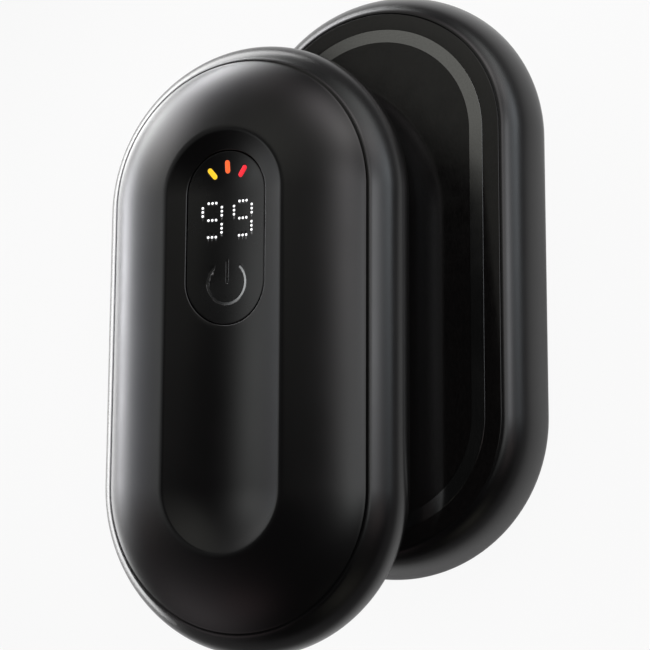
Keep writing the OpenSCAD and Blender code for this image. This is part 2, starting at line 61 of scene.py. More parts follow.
def extent(node):
    """Lowest and highest corner of a frame node in millimetres."""
    low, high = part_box(node)
    return np.array(low) / MM, np.array(high) / MM


# Sizes of one half in millimetres, read from the frame
tub_low, tub_high = extent("upper_mating_shell")
cover_high = extent("upper_outer_shell")[1]
panel_low, panel_high = extent("upper_mating_panel")
ring_low, ring_high = extent("upper_mating_ring")
socket_low, socket_high = extent("upper_usb_socket")
board_low, board_high = extent("upper_main_board")
frame_low = extent("upper_inner_frame")[0]
lower_tub_high = extent("lower_mating_shell")[1]

UNIT_W = tub_high[0] - tub_low[0]
UNIT_T = cover_high[2] - tub_low[2]
HALF_W = UNIT_W / 2
PANEL_R = (panel_high[0] - panel_low[0]) / 2
PANEL_T = panel_high[2] - panel_low[2]
END_C = (panel_high[1] - panel_low[1]) / 2 - PANEL_R
RING_RO = (ring_high[0] - ring_low[0]) / 2
RING_T = ring_high[2] - ring_low[2]
FACE_Z = tub_low[2]
SHIFT_X, SHIFT_Y = (panel_high[:2] + panel_low[:2]) / 2

# Shape of the section, as in the CAD source
RIM_Z = 8.2
RIM_ROLL = 5.0
SHOULDER_POWER = 2 / 2.0
WALL = 1.5
FLOOR_T = 1.4
SEAM_RISE = 6.65
SEAM_GAP = 0.3
SKIRT_H = 2.0
SKIRT_ROOT = 0.5
SKIRT_FIT = 0.1
GROOVE_R = 20 / 2
GROOVE_DEPTH = 1.4
GROOVE_ROUND = 0.3
CREST_W = 0.5
LIP_W = 0.2
RING_W = 2.25

# Shape of the section in this model alone: a slimmer roll, a softer brink, broken edges and the seal.
# The seam's edges start and end at angles in degrees
ROLL_POWER = 2 / 1.5
GROOVE_SOFT = 1.2
SEAM_EDGE = 0.08
COVER_EDGE_FROM, COVER_EDGE_TO = -90, -35
TUB_EDGE_FROM, TUB_EDGE_TO = 25, 90
SEAL_SET = 0.3
SEAL_W = 0.8
SEAL_BULGE = 0.12
PANEL_EDGE = 0.12
RING_GAP = 0.02
RING_EDGE = 0.04
RING_MARGIN = 1.0

# Radii and heights that follow from them
LIP_R = HALF_W - RIM_ROLL
SEAT_R = LIP_R - LIP_W
FLOOR_R = LIP_R - WALL
FLOOR_Z = PANEL_T + FLOOR_T
RING_RI = RING_RO - RING_W
CREST_R = GROOVE_R + GROOVE_ROUND + CREST_W
SEAM_Z = RIM_Z + SEAM_RISE
EDGE_Z = UNIT_T - GROOVE_ROUND
DISH_Z = EDGE_Z - GROOVE_DEPTH
CEILING_Z = DISH_Z - WALL
DOME_H = (UNIT_T - RIM_Z) / (1 - (CREST_R / HALF_W) ** (2 / SHOULDER_POWER)) ** (SHOULDER_POWER / 2)
CREST_T = math.acos((CREST_R / HALF_W) ** (1 / SHOULDER_POWER))
CREST_IN_T = math.acos((CREST_R / (HALF_W - WALL)) ** (1 / SHOULDER_POWER))

# Key panel
KEY_W = 13.8
KEY_LEN = 27.8
KEY_GAP = 0.15
KEY_SINK = 0.1
KEY_EDGE = 0.14
FLANGE_T = 0.7
FLANGE_W = 1.05
GASKET_T = 0.4
NUB_H = 0.5
NUB_R = 1.1
NUB_EDGE = 0.1
KEY_R = KEY_W / 2
KEY_HALF = (KEY_LEN - KEY_W) / 2
KEY_Y = END_C - KEY_HALF
FLANGE_TOP = CEILING_Z - GASKET_T
FLANGE_Z = FLANGE_TOP - FLANGE_T

# Light windows in the key panel: how deep they reach, and the digits' dots with their domes
WINDOW_DEPTH = 0.6
WINDOW_Z = DISH_Z - WINDOW_DEPTH
DIGIT_PITCH = 5.5
DIGIT_W = 3.3
DIGIT_H = 5.52
DIGIT_DROP = 4.05
DIGITS_Y = END_C - DIGIT_DROP
DOT_PITCH = 0.66
DOT_R = 0.21
DOT_GAP = 0.01
DOT_SUNK = 0.02
DOT_DOME = 0.05

# Level windows, a little wider than the CAD's, with pillowed faces
LEVEL_IN = 2.5
LEVEL_R = KEY_R - LEVEL_IN
LEVEL_ANGLE = 38
LEVEL_LEN = 2.1
LEVEL_W = 0.85
LEVEL_GAP = 0.02
LEVEL_ROUND = 0.1
LEVEL_SUNK = 0.03
LEVEL_DOME = 0.06
LEVEL_TOP_SHARE, LEVEL_TOP, LEVEL_PEAK = 0.4, 0.035, 0.038
SPECK = 0.001

# Power mark, engraved less deep and open a little wider than the CAD's. The inlay of its ring is a hair
# narrower and lower than the engraved line
POWER_R = 3.35
POWER_STROKE = 0.36
POWER_BAR = 3.7
POWER_OPEN = 44
POWER_DROP = 0.25
POWER_DEPTH = 0.12
POWER_Y = KEY_Y - KEY_HALF - POWER_DROP
MARK_FIT = 0.005
MARK_SINK = 0.004

# Charging port. Its mouth is rounded up to an angle in degrees and ends in a funnel outside the surface
USB_W = socket_high[0] - socket_low[0]
USB_H = socket_high[2] - socket_low[2]
USB_LEN = socket_high[1] - socket_low[1]
USB_WALL = 0.3
USB_SET = 0.7
USB_GAP = 0.12
USB_EDGE = 0.22
USB_ROUND = 60
FUNNEL_GROW, FUNNEL_DEPTH = 3 * USB_EDGE, -4 * USB_EDGE
UNIT_LEN = 2 * END_C + UNIT_W
USB_Y = USB_SET - UNIT_LEN / 2
USB_BACK = USB_Y + USB_LEN
TONGUE_W = 6.7
TONGUE_T = 0.7
TONGUE_SET = 0.9
TONGUE_BLOCK = 1.6
TONGUE_TIP = 0.15
TONGUE_ROOT = 0.01
TONGUE_Y = USB_Y + TONGUE_SET
CONTACTS = 12
CONTACT_PITCH = 0.5
CONTACT_W = 0.28
CONTACT_H = 0.02
CONTACT_EDGE = 0.03
CONTACT_FROM, CONTACT_TO = 0.35, 3.2

# Magnet pockets and screw bosses inside the tub, set in from the floor's side, the end's centre, the magnets
# and the main board's inner edge
MAGNET_R = 4.0
MAGNET_FIT = 0.05
MAGNET_SUNK = 1.0
MAGNET_IN, MAGNET_BACK = 1.5, 1.2
MAGNET_X = FLOOR_R - MAGNET_R - MAGNET_IN
MAGNET_Y = END_C - MAGNET_BACK
BOSS_R = 1.9
PILOT_R = 0.72
PILOT_DEEP = 2.3
FRAME_BOSS_IN, FRAME_BOSS_BACK = 1.45, 12
FRAME_BOSS_X = FLOOR_R - FRAME_BOSS_IN
FRAME_BOSS_Y = MAGNET_Y - FRAME_BOSS_BACK
BOARD_BOSS_X = 5.7
BOARD_BOSS_BACK = 2.9
BOARD_BOSS_Y = board_high[1] - SHIFT_Y - BOARD_BOSS_BACK

# How finely the surfaces are divided
ARC_STEPS = 96
LINE_STEPS = 16
COVER_STEPS = 48
CURVE_STEPS = 40
EDGE_STEPS = 5
CEILING_STEPS = 6
PANEL_STEPS = 8
SEAL_STEPS = 6
SLOT_STEPS = 20
MOUTH_STEPS = 8
POCKET_STEPS = 48
PIN_STEPS = 32
DOT_STEPS = 20
DOT_DOME_STEPS = 4
LEVEL_STEPS = 12
POWER_STEPS = 72
BAR_STEPS = 8

# How far a cutter reaches past a surface, and where a stroke's round ends stop short of a point, in degrees
OVER = 0.5
CAP_END = 84

# Points and slivers closer than these merge; edges up to these angles in degrees are shaded smoothly
WELD, SLIVER = 1e-5, 1e-6
SMOOTH, SMOOTH_FINE, SMOOTH_DOMED = 40, 30, 50

# A corner of a cut face is probed this share of the way to the face's middle. It takes the old surface's
# normal where that surface is within this reach, and where both normals are aligned at least this much
PROBE_SHARE, PROBE_REACH, PROBE_ALIGNED = 0.02, 0.01, 0.9

UPPER = Matrix.Translation(Vector((SHIFT_X, SHIFT_Y, FACE_Z)) * MM) @ Matrix.Scale(MM, 4)
LOWER = (
    Matrix.Translation(Vector((-SHIFT_X, -SHIFT_Y, lower_tub_high[2])) * MM)
    @ Matrix.Rotation(math.pi, 4, "X")
    @ Matrix.Scale(MM, 4)
)


# Section of one half


def lower_out(t):
    """Outside from the mating face's edge (t 0) to the widest rim (t 90 degrees)."""
    return (
        LIP_R + RIM_ROLL * math.sin(t) ** ROLL_POWER,
        RIM_Z * (1 - max(math.cos(t), 0) ** ROLL_POWER),
    )


def upper_out(t):
    """Outside from the widest rim (t 0) to the crest, part of a dome over the middle line."""
    return HALF_W * math.cos(t) ** SHOULDER_POWER, RIM_Z + DOME_H * math.sin(t) ** SHOULDER_POWER


def lower_in(t):
    """Inside from the floor's corner to the widest rim."""
    return (
        FLOOR_R + (HALF_W - WALL - FLOOR_R) * math.sin(t) ** ROLL_POWER,
        FLOOR_Z + (RIM_Z - FLOOR_Z) * (1 - max(math.cos(t), 0) ** ROLL_POWER),
    )


def upper_in(t):
    """Inside above the widest rim."""
    return (
        (HALF_W - WALL) * math.cos(t) ** SHOULDER_POWER,
        RIM_Z + (DOME_H - WALL) * math.sin(t) ** SHOULDER_POWER,
    )


def out_angle(z):
    """Angle at which upper_out reaches a height."""
    return math.asin(((z - RIM_Z) / DOME_H) ** (1 / SHOULDER_POWER))


def in_angle(z):
    """Angle at which upper_in reaches a height."""
    return math.asin(((z - RIM_Z) / (DOME_H - WALL)) ** (1 / SHOULDER_POWER))


def groove_brink():
    """Slope, distance and height where the groove's floor meets its brink, found step by step."""
    slope = 0.3
    for _ in range(20):
        r = GROOVE_R + GROOVE_ROUND - GROOVE_SOFT * math.sin(slope)
        z = UNIT_T - GROOVE_SOFT * (1 - math.cos(slope))
        slope = math.atan(2 * (z - DISH_Z) / r)
    return slope, r, z


BRINK_SLOPE, BRINK_R, BRINK_Z = groove_brink()


def groove_face(x, y):
    """Height of the thumb groove's floor, which rises with the distance from its middle line."""
    r = math.hypot(x, max(abs(y) - END_C, 0))
    return DISH_Z + (BRINK_Z - DISH_Z) * (r / BRINK_R) ** 2


def key_face(x, y):
    """Height of the key panel's face."""
    return groove_face(x, y) - KEY_SINK


def above(face, rise):
    """Height function of a surface that follows a face."""
    return lambda x, y: face(x, y) + rise


def spread(start, end, steps):
    """Evenly spaced values from start to end, both included."""
    return [start + (end - start) * i / steps for i in range(steps + 1)]


def edge_arc(centre, radius, start, end):
    """Points of a rounded edge in the section's plane, angles in degrees."""
    return [
        (centre[0] + radius * math.cos(a), centre[1] + radius * math.sin(a))
        for a in spread(math.radians(start), math.radians(end), EDGE_STEPS)
    ]


# Mesh builders


def new_object(name, verts, faces, smooth=SMOOTH):
    """Mesh object with clean faces and outward normals."""
    mesh = bpy.data.meshes.new(name)
    mesh.from_pydata([tuple(v) for v in verts], [], faces)
    obj = bpy.data.objects.new(name, mesh)
    bpy.context.scene.collection.objects.link(obj)
    tidy_mesh(mesh, smooth)
    return obj


def tidy_mesh(mesh, smooth=SMOOTH):
    """Merges points, drops slivers and turns the faces outwards."""
    work = bmesh.new()
    work.from_mesh(mesh)
    bmesh.ops.remove_doubles(work, verts=work.verts, dist=WELD)
    bmesh.ops.dissolve_degenerate(work, edges=work.edges, dist=SLIVER)
    bmesh.ops.recalc_face_normals(work, faces=work.faces)
    work.to_mesh(mesh)
    work.free()
    shade_smooth(mesh, smooth)
    mesh.update()


def shade_smooth(mesh, smooth=SMOOTH):
    """Shades a mesh smoothly, apart from edges sharper than smooth degrees."""
    mesh.polygons.foreach_set("use_smooth", [True] * len(mesh.polygons))
    mesh.set_sharp_from_angle(angle=math.radians(smooth))


def stations(half, line_steps=LINE_STEPS):
    """Centre points and outward directions round a stadium that lies along Y."""
    ys = spread(-half, half, line_steps)[:-1]
    ring = [(0.0, y, 1.0, 0.0) for y in ys]
    ring += [(0.0, half, math.cos(a), math.sin(a)) for a in spread(0, math.pi, ARC_STEPS)[:-1]]
    ring += [(0.0, -y, -1.0, 0.0) for y in ys]
    ring += [(0.0, -half, math.cos(a), math.sin(a)) for a in spread(math.pi, 2 * math.pi, ARC_STEPS)[:-1]]
    return ring


def z_at(z, x, y):
    """Value of a height, which is a number or a function of x and y."""
    return z(x, y) if callable(z) else z


def loop_row(ring, r, z):
    """Loop of points at a distance from the stations' centres."""
    spots = [(cx + r * dx, cy + r * dy) for cx, cy, dx, dy in ring]
    return [(x, y, z_at(z, x, y)) for x, y in spots]


def between(row_a, row_b, shares, z):
    """Rows between two loops, with new heights."""
    rows = []
    for s in shares:
        spots = [(p[0] + s * (q[0] - p[0]), p[1] + s * (q[1] - p[1])) for p, q in zip(row_a, row_b)]
        rows.append([(x, y, z_at(z, x, y)) for x, y in spots])
    return rows


def skin(rows, closed=False):
    """Faces between rows of equal length, each of which is a loop. closed joins the last row to the first."""
    count, size = len(rows), len(rows[0])
    verts = [p for row in rows for p in row]
    faces = []
    for i in range(count if closed else count - 1):
        j = (i + 1) % count
        for k in range(size):
            m = (k + 1) % size
            faces.append((i * size + k, i * size + m, j * size + m, j * size + k))
    return verts, faces


def capped(rows):
    """Closed solid from loops of points, with flat caps at both ends."""
    verts, faces = skin(rows)
    size = len(rows[0])
    faces.append(tuple(reversed(range(size))))
    faces.append(tuple(range(len(verts) - size, len(verts))))
    return verts, faces


def sweep(name, points, half=END_C, centre_y=0.0, closed=False, smooth=SMOOTH):
    """Turns a section (r, z) round a stadium."""
    ring = [(cx, cy + centre_y, dx, dy) for cx, cy, dx, dy in stations(half)]
    return new_object(name, *skin([loop_row(ring, r, z) for r, z in points], closed), smooth=smooth)


def lathe_rows(x, y, points, steps):
    """Loops of a turned shape (r, z) about a vertical line."""
    ring = [(x, y, math.cos(a), math.sin(a)) for a in spread(0, 2 * math.pi, steps)[:-1]]
    return [loop_row(ring, r, z) for r, z in points]


def slot_ring(width, height):
    """Slot outline across X with round ends, as (x, z) points."""
    r, reach = height / 2, (width - height) / 2
    right = [(reach + r * math.cos(a), r * math.sin(a))
             for a in spread(-math.pi / 2, math.pi / 2, SLOT_STEPS)]
    left = [(-reach + r * math.cos(a), r * math.sin(a))
            for a in spread(math.pi / 2, 3 * math.pi / 2, SLOT_STEPS)]
    return right + left


def ribbon(path, half_width, low, high):
    """Strip of a stroke along a path of (x, y), with round ends, between two heights."""
    path = [Vector(p) for p in path]
    start, end = (path[0] - path[1]).normalized(), (path[-1] - path[-2]).normalized()
    turns = [math.radians(a) for a in spread(CAP_END, 0, EDGE_STEPS)[:-1]]
    stops = [(path[0] + start * half_width * math.sin(a), -start, half_width * math.cos(a)) for a in turns]
    for i, p in enumerate(path):
        along = (path[min(i + 1, len(path) - 1)] - path[max(i - 1, 0)]).normalized()
        stops.append((p, along, half_width))
    stops += [(path[-1] + end * half_width * math.sin(a), end, half_width * math.cos(a))
              for a in reversed(turns)]
    rows = []
    for p, along, w in stops:
        side = Vector((-along.y, along.x)) * w
        corners = ((p + side, low), (p - side, low), (p - side, high), (p + side, high))
        rows.append([(c.x, c.y, z_at(z, c.x, c.y)) for c, z in corners])
    return capped(rows)


def joined(name, parts, smooth=SMOOTH):
    """One object from several lists of vertices and faces."""
    verts, faces = [], []
    for part_verts, part_faces in parts:
        shift = len(verts)
        verts += part_verts
        faces += [tuple(i + shift for i in f) for f in part_faces]
    return new_object(name, verts, faces, smooth)


def merge(keep, other):
    """Joins an object into another one."""
    work = bmesh.new()
    work.from_mesh(keep.data)
    work.from_mesh(other.data)
    work.to_mesh(keep.data)
    work.free()
    bpy.data.objects.remove(other)
    shade_smooth(keep.data)
    return keep


def cut(obj, *cutters):
    """Cuts solids out of a piece and deletes them."""
    for cutter in cutters:
        step = obj.modifiers.new("cut", "BOOLEAN")
        step.operation = "DIFFERENCE"
        step.solver = "EXACT"
        step.object = cutter
    graph = bpy.context.evaluated_depsgraph_get()
    mesh = bpy.data.meshes.new_from_object(obj.evaluated_get(graph))
    obj.modifiers.clear()
    whole = obj.data
    obj.data = mesh
    for cutter in cutters:
        bpy.data.objects.remove(cutter)
    tidy_mesh(mesh)
    keep_shading(mesh, whole)
    return obj


def keep_shading(mesh, whole):
    """Gives what is left of a surface the smooth normals that it had before the cut."""
    whole.calc_loop_triangles()
    normals = np.empty(len(whole.loops) * 3, np.float32)
    whole.corner_normals.foreach_get("vector", normals)
    normals = normals.reshape(-1, 3)
    triangles = [tuple(t.vertices) for t in whole.loop_triangles]
    loops = [tuple(t.loops) for t in whole.loop_triangles]
    spots = [v.co.copy() for v in whole.vertices]
    tree = BVHTree.FromPolygons(spots, triangles)
    kept = [(0.0, 0.0, 0.0)] * len(mesh.loops)
    for face in mesh.polygons:
        for k in face.loop_indices:
            spot = mesh.vertices[mesh.loops[k].vertex_index].co
            near, flat, index, gap = tree.find_nearest(spot.lerp(face.center, PROBE_SHARE))
            if index is None or gap > PROBE_REACH or flat.dot(face.normal) < PROBE_ALIGNED:
                continue
            corners = [spots[v] for v in triangles[index]]
            wa, wb, wc = poly_3d_calc(corners, near)
            na, nb, nc = (Vector(normals[i]) for i in loops[index])
            kept[k] = tuple((na * wa + nb * wb + nc * wc).normalized())
    mesh.normals_split_custom_set(kept)


# Pieces of one half


def window_stations(ring):
    """Stations round the key window, each facing its station of the groove."""
    low_y = KEY_Y - KEY_HALF
    spots = [(cx + BRINK_R * dx, cy + BRINK_R * dy) for cx, cy, dx, dy in ring]
    below = [k for k, (x, y) in enumerate(spots) if y < low_y]
    first = next(k for k in below if spots[k][0] < 0 and spots[k - 1][1] >= low_y)
    order = [k for k in below if k >= first] + [k for k in below if k < first]
    path = [(-BRINK_R, low_y)] + [spots[k] for k in order] + [(BRINK_R, low_y)]
    lengths = np.cumsum([math.dist(p, q) for p, q in zip(path, path[1:])])
    turned = {}
    for k, length in zip(order, lengths):
        a = math.pi * (1 + length / lengths[-1])
        turned[k] = (0.0, low_y, math.cos(a), math.sin(a))
    return [turned.get(k, station) for k, station in enumerate(ring)]


def make_cover(name):
    """Outer shell with the thumb groove, the rounded window of the key panel and the skirt."""
    ring = stations(END_C, COVER_STEPS)
    window = window_stations(ring)
    seam_r = upper_out(out_angle(SEAM_Z))[0]
    window_r = KEY_R + KEY_GAP
    skirt_out = upper_in(in_angle(SEAM_Z))[0] - SKIRT_FIT
    section = edge_arc((seam_r - SEAM_EDGE, SEAM_Z + SEAM_EDGE), SEAM_EDGE, COVER_EDGE_FROM, COVER_EDGE_TO)
    section += [upper_out(t) for t in spread(out_angle(SEAM_Z + SEAM_EDGE), CREST_T, CURVE_STEPS)]
    section += edge_arc((GROOVE_R + GROOVE_ROUND, UNIT_T - GROOVE_SOFT), GROOVE_SOFT, 90,
                        90 + math.degrees(BRINK_SLOPE))[:-1]
    rows = [loop_row(ring, r, z) for r, z in section]
    groove_row = loop_row(ring, BRINK_R, groove_face)
    brink_row = loop_row(window, window_r + KEY_EDGE, groove_face)
    rows.append(groove_row)
    rows += between(groove_row, brink_row, spread(0, 1, CURVE_STEPS)[1:], groove_face)
    for a in spread(math.pi / 2, 0, EDGE_STEPS)[1:]:
        rim = above(groove_face, -KEY_EDGE * (1 - math.sin(a)))
        rows.append(loop_row(window, window_r + KEY_EDGE * (1 - math.cos(a)), rim))
    window_low = loop_row(window, window_r, CEILING_Z)
    ceiling_end = loop_row(ring, CREST_R, CEILING_Z)
    rows.append(window_low)
    rows += between(window_low, ceiling_end, spread(0, 1, CEILING_STEPS)[1:], CEILING_Z)
    inside = [upper_in(t) for t in spread(CREST_IN_T, in_angle(SEAM_Z + SKIRT_ROOT), CURVE_STEPS // 2)]
    inside += [(inside[-1][0], SEAM_Z - SKIRT_H), (skirt_out, SEAM_Z - SKIRT_H), (skirt_out, SEAM_Z)]
    rows += [loop_row(ring, r, z) for r, z in inside]
    return new_object(name, *skin(rows, True))


def make_tub(name):
    """Shell with the rolled rim, the floor, the port's hole and the magnets' pockets."""
    top_z = SEAM_Z - SEAM_GAP
    top_r = upper_out(out_angle(top_z))[0]
    lip_edge = LIP_W / 2
    seat = [(0, PANEL_T), (SEAT_R, PANEL_T)]
    seat += edge_arc((SEAT_R + lip_edge, lip_edge), lip_edge, 180, 270)
    rim = [lower_out(t) for t in spread(0, math.pi / 2, CURVE_STEPS)]
    shoulder = [upper_out(t) for t in spread(0, out_angle(top_z - SEAM_EDGE), CURVE_STEPS // 2)[1:]]
    seam = edge_arc((top_r - SEAM_EDGE, top_z - SEAM_EDGE), SEAM_EDGE, TUB_EDGE_FROM, TUB_EDGE_TO)
    inside = [upper_in(t) for t in spread(in_angle(top_z), 0, CURVE_STEPS // 2)]
    belly = [lower_in(t) for t in spread(math.pi / 2, 0, CURVE_STEPS // 2)[1:]]
    tub = sweep(name, seat + rim + shoulder + seam + inside + belly + [(0, FLOOR_Z)])
    pocket_r = MAGNET_R + MAGNET_FIT
    pockets = joined("pocket_cutter", [
        capped(lathe_rows(sx * MAGNET_X, sy * MAGNET_Y,
                          [(pocket_r, FLOOR_Z - MAGNET_SUNK), (pocket_r, FLOOR_Z + OVER)], POCKET_STEPS))
        for sx in (-1, 1) for sy in (-1, 1)
    ])
    return cut(tub, port_cutter(), pockets)


def rim_front(x, z):
    """Y of the outer surface at the charging end."""
    if z > RIM_Z:
        r = HALF_W * math.cos(out_angle(z)) ** SHOULDER_POWER
    else:
        level = max(0.0, 1 - z / RIM_Z) ** (1 / ROLL_POWER)
        r = LIP_R + RIM_ROLL * math.sqrt(1 - level * level) ** ROLL_POWER
    return -END_C - math.sqrt(max(0.0, r * r - x * x))


def port_cutter():
    """Hole of the charging port with a rounded mouth that follows the rim."""
    def outline(grow):
        return slot_ring(USB_W + 2 * (USB_GAP + grow), USB_H + 2 * (USB_GAP + grow))

    front = [rim_front(x, RIM_Z + z) for x, z in outline(0)]
    mouth = [(USB_EDGE * (1 - math.cos(a)), USB_EDGE * (1 - math.sin(a)))
             for a in spread(0, math.radians(USB_ROUND), EDGE_STEPS)]
    rows = [[(x, USB_Y + WALL + OVER, RIM_Z + z) for x, z in outline(0)]]
    for grow, depth in mouth + [(FUNNEL_GROW, FUNNEL_DEPTH)]:
        rows.append([(x, y + depth, RIM_Z + z) for (x, z), y in zip(outline(grow), front)])
    return new_object("port_cutter", *capped(rows))


def make_bosses(name):
    """Screw bosses on the tub's floor with their pilot holes, for the inner frame and the main board."""
    places = [(sx * FRAME_BOSS_X, sy * FRAME_BOSS_Y, frame_low[2] - FACE_Z)
              for sx in (-1, 1) for sy in (-1, 1)]
    places += [(sx * BOARD_BOSS_X, BOARD_BOSS_Y, board_low[2] - FACE_Z) for sx in (-1, 1)]
    return joined(name, [
        skin(lathe_rows(x, y, [
            (0, FLOOR_Z), (BOSS_R, FLOOR_Z), (BOSS_R, top), (PILOT_R, top), (PILOT_R, top - PILOT_DEEP),
            (0, top - PILOT_DEEP),
        ], PIN_STEPS))
        for x, y, top in places
    ])


def make_seal(name):
    """Seam seal, set back from the surface."""
    outer = upper_out(out_angle(SEAM_Z))[0] - SEAL_SET
    inner, low = outer - SEAL_W, SEAM_Z - SEAM_GAP
    centre_r, centre_z = outer - SEAL_BULGE, (low + SEAM_Z) / 2
    bulge = [(centre_r + SEAL_BULGE * math.cos(a), centre_z + SEAM_GAP / 2 * math.sin(a))
             for a in spread(-math.pi / 2, math.pi / 2, SEAL_STEPS)]
    return sweep(name, [(inner, low)] + bulge + [(inner, SEAM_Z)], closed=True)


def make_panel(name):
    """Mating panel with a softened edge and the groove of the inlaid ring."""
    groove_out, groove_in = RING_RO + RING_GAP, RING_RI - RING_GAP
    face = edge_arc((PANEL_R - PANEL_EDGE, PANEL_EDGE), PANEL_EDGE, 0, -90)
    groove = [(groove_out, 0), (groove_out, RING_T), (groove_in, RING_T), (groove_in, 0)]
    plain = [(r, 0) for r in spread(RING_RI - RING_MARGIN, 0, PANEL_STEPS)]
    return sweep(name, [(0, PANEL_T), (PANEL_R, PANEL_T)] + face + groove + plain)


def make_ring(name):
    """Inlaid ring with finely broken edges."""
    return sweep(name, [
        (RING_RI, RING_T), (RING_RI, RING_EDGE), (RING_RI + RING_EDGE, 0),
        (RING_RO - RING_EDGE, 0), (RING_RO, RING_EDGE), (RING_RO, RING_T),
    ], closed=True, smooth=SMOOTH_FINE)


def dot_places():
    """Centres of the dots of the two nines: bars of three dots, each with its side, height and direction."""
    bars = [(0, 2, 0), (-1, 1, 1), (1, 1, 1), (0, 0, 0), (1, -1, 1), (0, -2, 0)]
    for digit in (-1, 1):
        for side, quarter, upright in bars:
            for k in (-1, 0, 1):
                yield (
                    digit * DIGIT_PITCH / 2 + side * DIGIT_W / 2 + (1 - upright) * k * DOT_PITCH,
                    DIGITS_Y + quarter * DIGIT_H / 4 + upright * k * DOT_PITCH,
                )


def make_dots(name):
    """Domed light dots, all in one object."""
    dome = [(DOT_R * math.cos(a), above(key_face, -DOT_SUNK + DOT_DOME * math.sin(a)))
            for a in spread(0, math.pi / 2, DOT_DOME_STEPS)]
    return joined(name, [
        skin(lathe_rows(x, y, [(0, WINDOW_Z), (DOT_R, WINDOW_Z)] + dome, DOT_STEPS)) for x, y in dot_places()
    ], SMOOTH_DOMED)


def level_path(step):
    """Middle line of a level window, leaning outwards."""
    a = math.radians(-step * LEVEL_ANGLE)
    reach = (LEVEL_LEN - LEVEL_W) / 2
    return [
        (-(LEVEL_R + s * reach) * math.sin(a), END_C + (LEVEL_R + s * reach) * math.cos(a))
        for s in spread(-1, 1, 4)
    ]


def make_level(name, step):
    """One level window with a pillowed face."""
    half = LEVEL_W / 2
    path = [Vector(p) for p in level_path(step)]
    along = (path[-1] - path[0]).normalized()
    side = Vector((-along.y, along.x))
    reach = (path[-1] - path[0]).length / 2
    middle = (path[-1] + path[0]) / 2
    profile = [(SPECK, WINDOW_Z), (half, WINDOW_Z)]
    profile += [
        (half - LEVEL_ROUND * (1 - math.cos(a)), above(key_face, -LEVEL_SUNK + LEVEL_DOME * math.sin(a)))
        for a in spread(0, math.pi / 2, EDGE_STEPS)
    ]
    profile += [(half * LEVEL_TOP_SHARE, above(key_face, LEVEL_TOP)), (SPECK, above(key_face, LEVEL_PEAK))]
    rows = []
    for w, z in profile:
        row = []
        for end in (1, -1):
            for a in spread(0, math.pi, LEVEL_STEPS):
                p = middle + along * end * reach + side * (w * math.cos(a) * end)
                p += along * (w * math.sin(a) * end)
                row.append((p.x, p.y, z_at(z, p.x, p.y)))
        rows.append(row)
    return new_object(name, *capped(rows), smooth=SMOOTH_DOMED)


def power_paths():
    """Middle lines of the power mark: the open ring and the bar."""
    ring = [(POWER_R * math.sin(a), POWER_Y + POWER_R * math.cos(a))
            for a in spread(math.radians(POWER_OPEN), math.radians(360 - POWER_OPEN), POWER_STEPS)]
    inset = POWER_STROKE / 2
    top = POWER_R + inset
    bar = [(0, POWER_Y + y) for y in spread(top - POWER_BAR + inset, top - inset, BAR_STEPS)]
    return ring, bar


def make_key(name):
    """Key panel that follows the groove, with its flange and nub, cut for the lights and the power mark."""
    face = [(r, key_face) for r in spread(0, KEY_R - KEY_EDGE, CURVE_STEPS)]
    edge = [(KEY_R - KEY_EDGE + KEY_EDGE * math.sin(a), above(key_face, -KEY_EDGE * (1 - math.cos(a))))
            for a in spread(0, math.pi / 2, EDGE_STEPS)[1:]]
    flange_r = KEY_R + KEY_GAP + FLANGE_W
    below = [(KEY_R, FLANGE_TOP), (flange_r, FLANGE_TOP), (flange_r, FLANGE_Z), (NUB_R, FLANGE_Z),
             (0, FLANGE_Z)]
    key = sweep(name, face + edge + below, half=KEY_HALF, centre_y=KEY_Y)
    top = EDGE_Z + OVER
    dot_r, level_r = DOT_R + DOT_GAP, LEVEL_W / 2 + LEVEL_GAP
    dots = joined("dot_cutter", [
        capped(lathe_rows(x, y, [(dot_r, WINDOW_Z), (dot_r, top)], DOT_STEPS)) for x, y in dot_places()
    ])
    slots = joined("level_cutter", [ribbon(level_path(step), level_r, WINDOW_Z, top) for step in (-1, 0, 1)])
    mark = joined("mark_cutter", [
        ribbon(path, POWER_STROKE / 2, above(key_face, -POWER_DEPTH), top) for path in power_paths()
    ])
    nub_z = FLANGE_Z - NUB_H
    nub = joined("nub", [skin(lathe_rows(0, POWER_Y, [
        (0, FLANGE_Z), (NUB_R, FLANGE_Z), (NUB_R, nub_z + NUB_EDGE), (NUB_R - NUB_EDGE, nub_z), (0, nub_z),
    ], PIN_STEPS))])
    return merge(cut(key, dots, slots, mark), nub)


def make_mark(name):
    """Bright inlay in the power mark's ring, just below the key face. The bar stays an engraved line."""
    ring = power_paths()[0]
    low, high = above(key_face, -POWER_DEPTH), above(key_face, -MARK_SINK)
    return joined(name, [ribbon(ring, POWER_STROKE / 2 - MARK_FIT, low, high)], SMOOTH_FINE)


def make_socket(name):
    """Charging socket of formed sheet with a rolled mouth."""
    roll = USB_WALL / 2
    mouth = [(roll * (1 - math.cos(a)), USB_Y + roll - roll * math.sin(a))
             for a in spread(0, math.pi, MOUTH_STEPS)]
    rows = []
    for grow, y in [(0, USB_BACK)] + mouth + [(2 * roll, USB_BACK)]:
        outline = slot_ring(USB_W - 2 * USB_WALL + 2 * grow, USB_H - 2 * USB_WALL + 2 * grow)
        rows.append([(x, y, RIM_Z + z) for x, z in outline])
    return new_object(name, *skin(rows, True), smooth=SMOOTH_FINE)


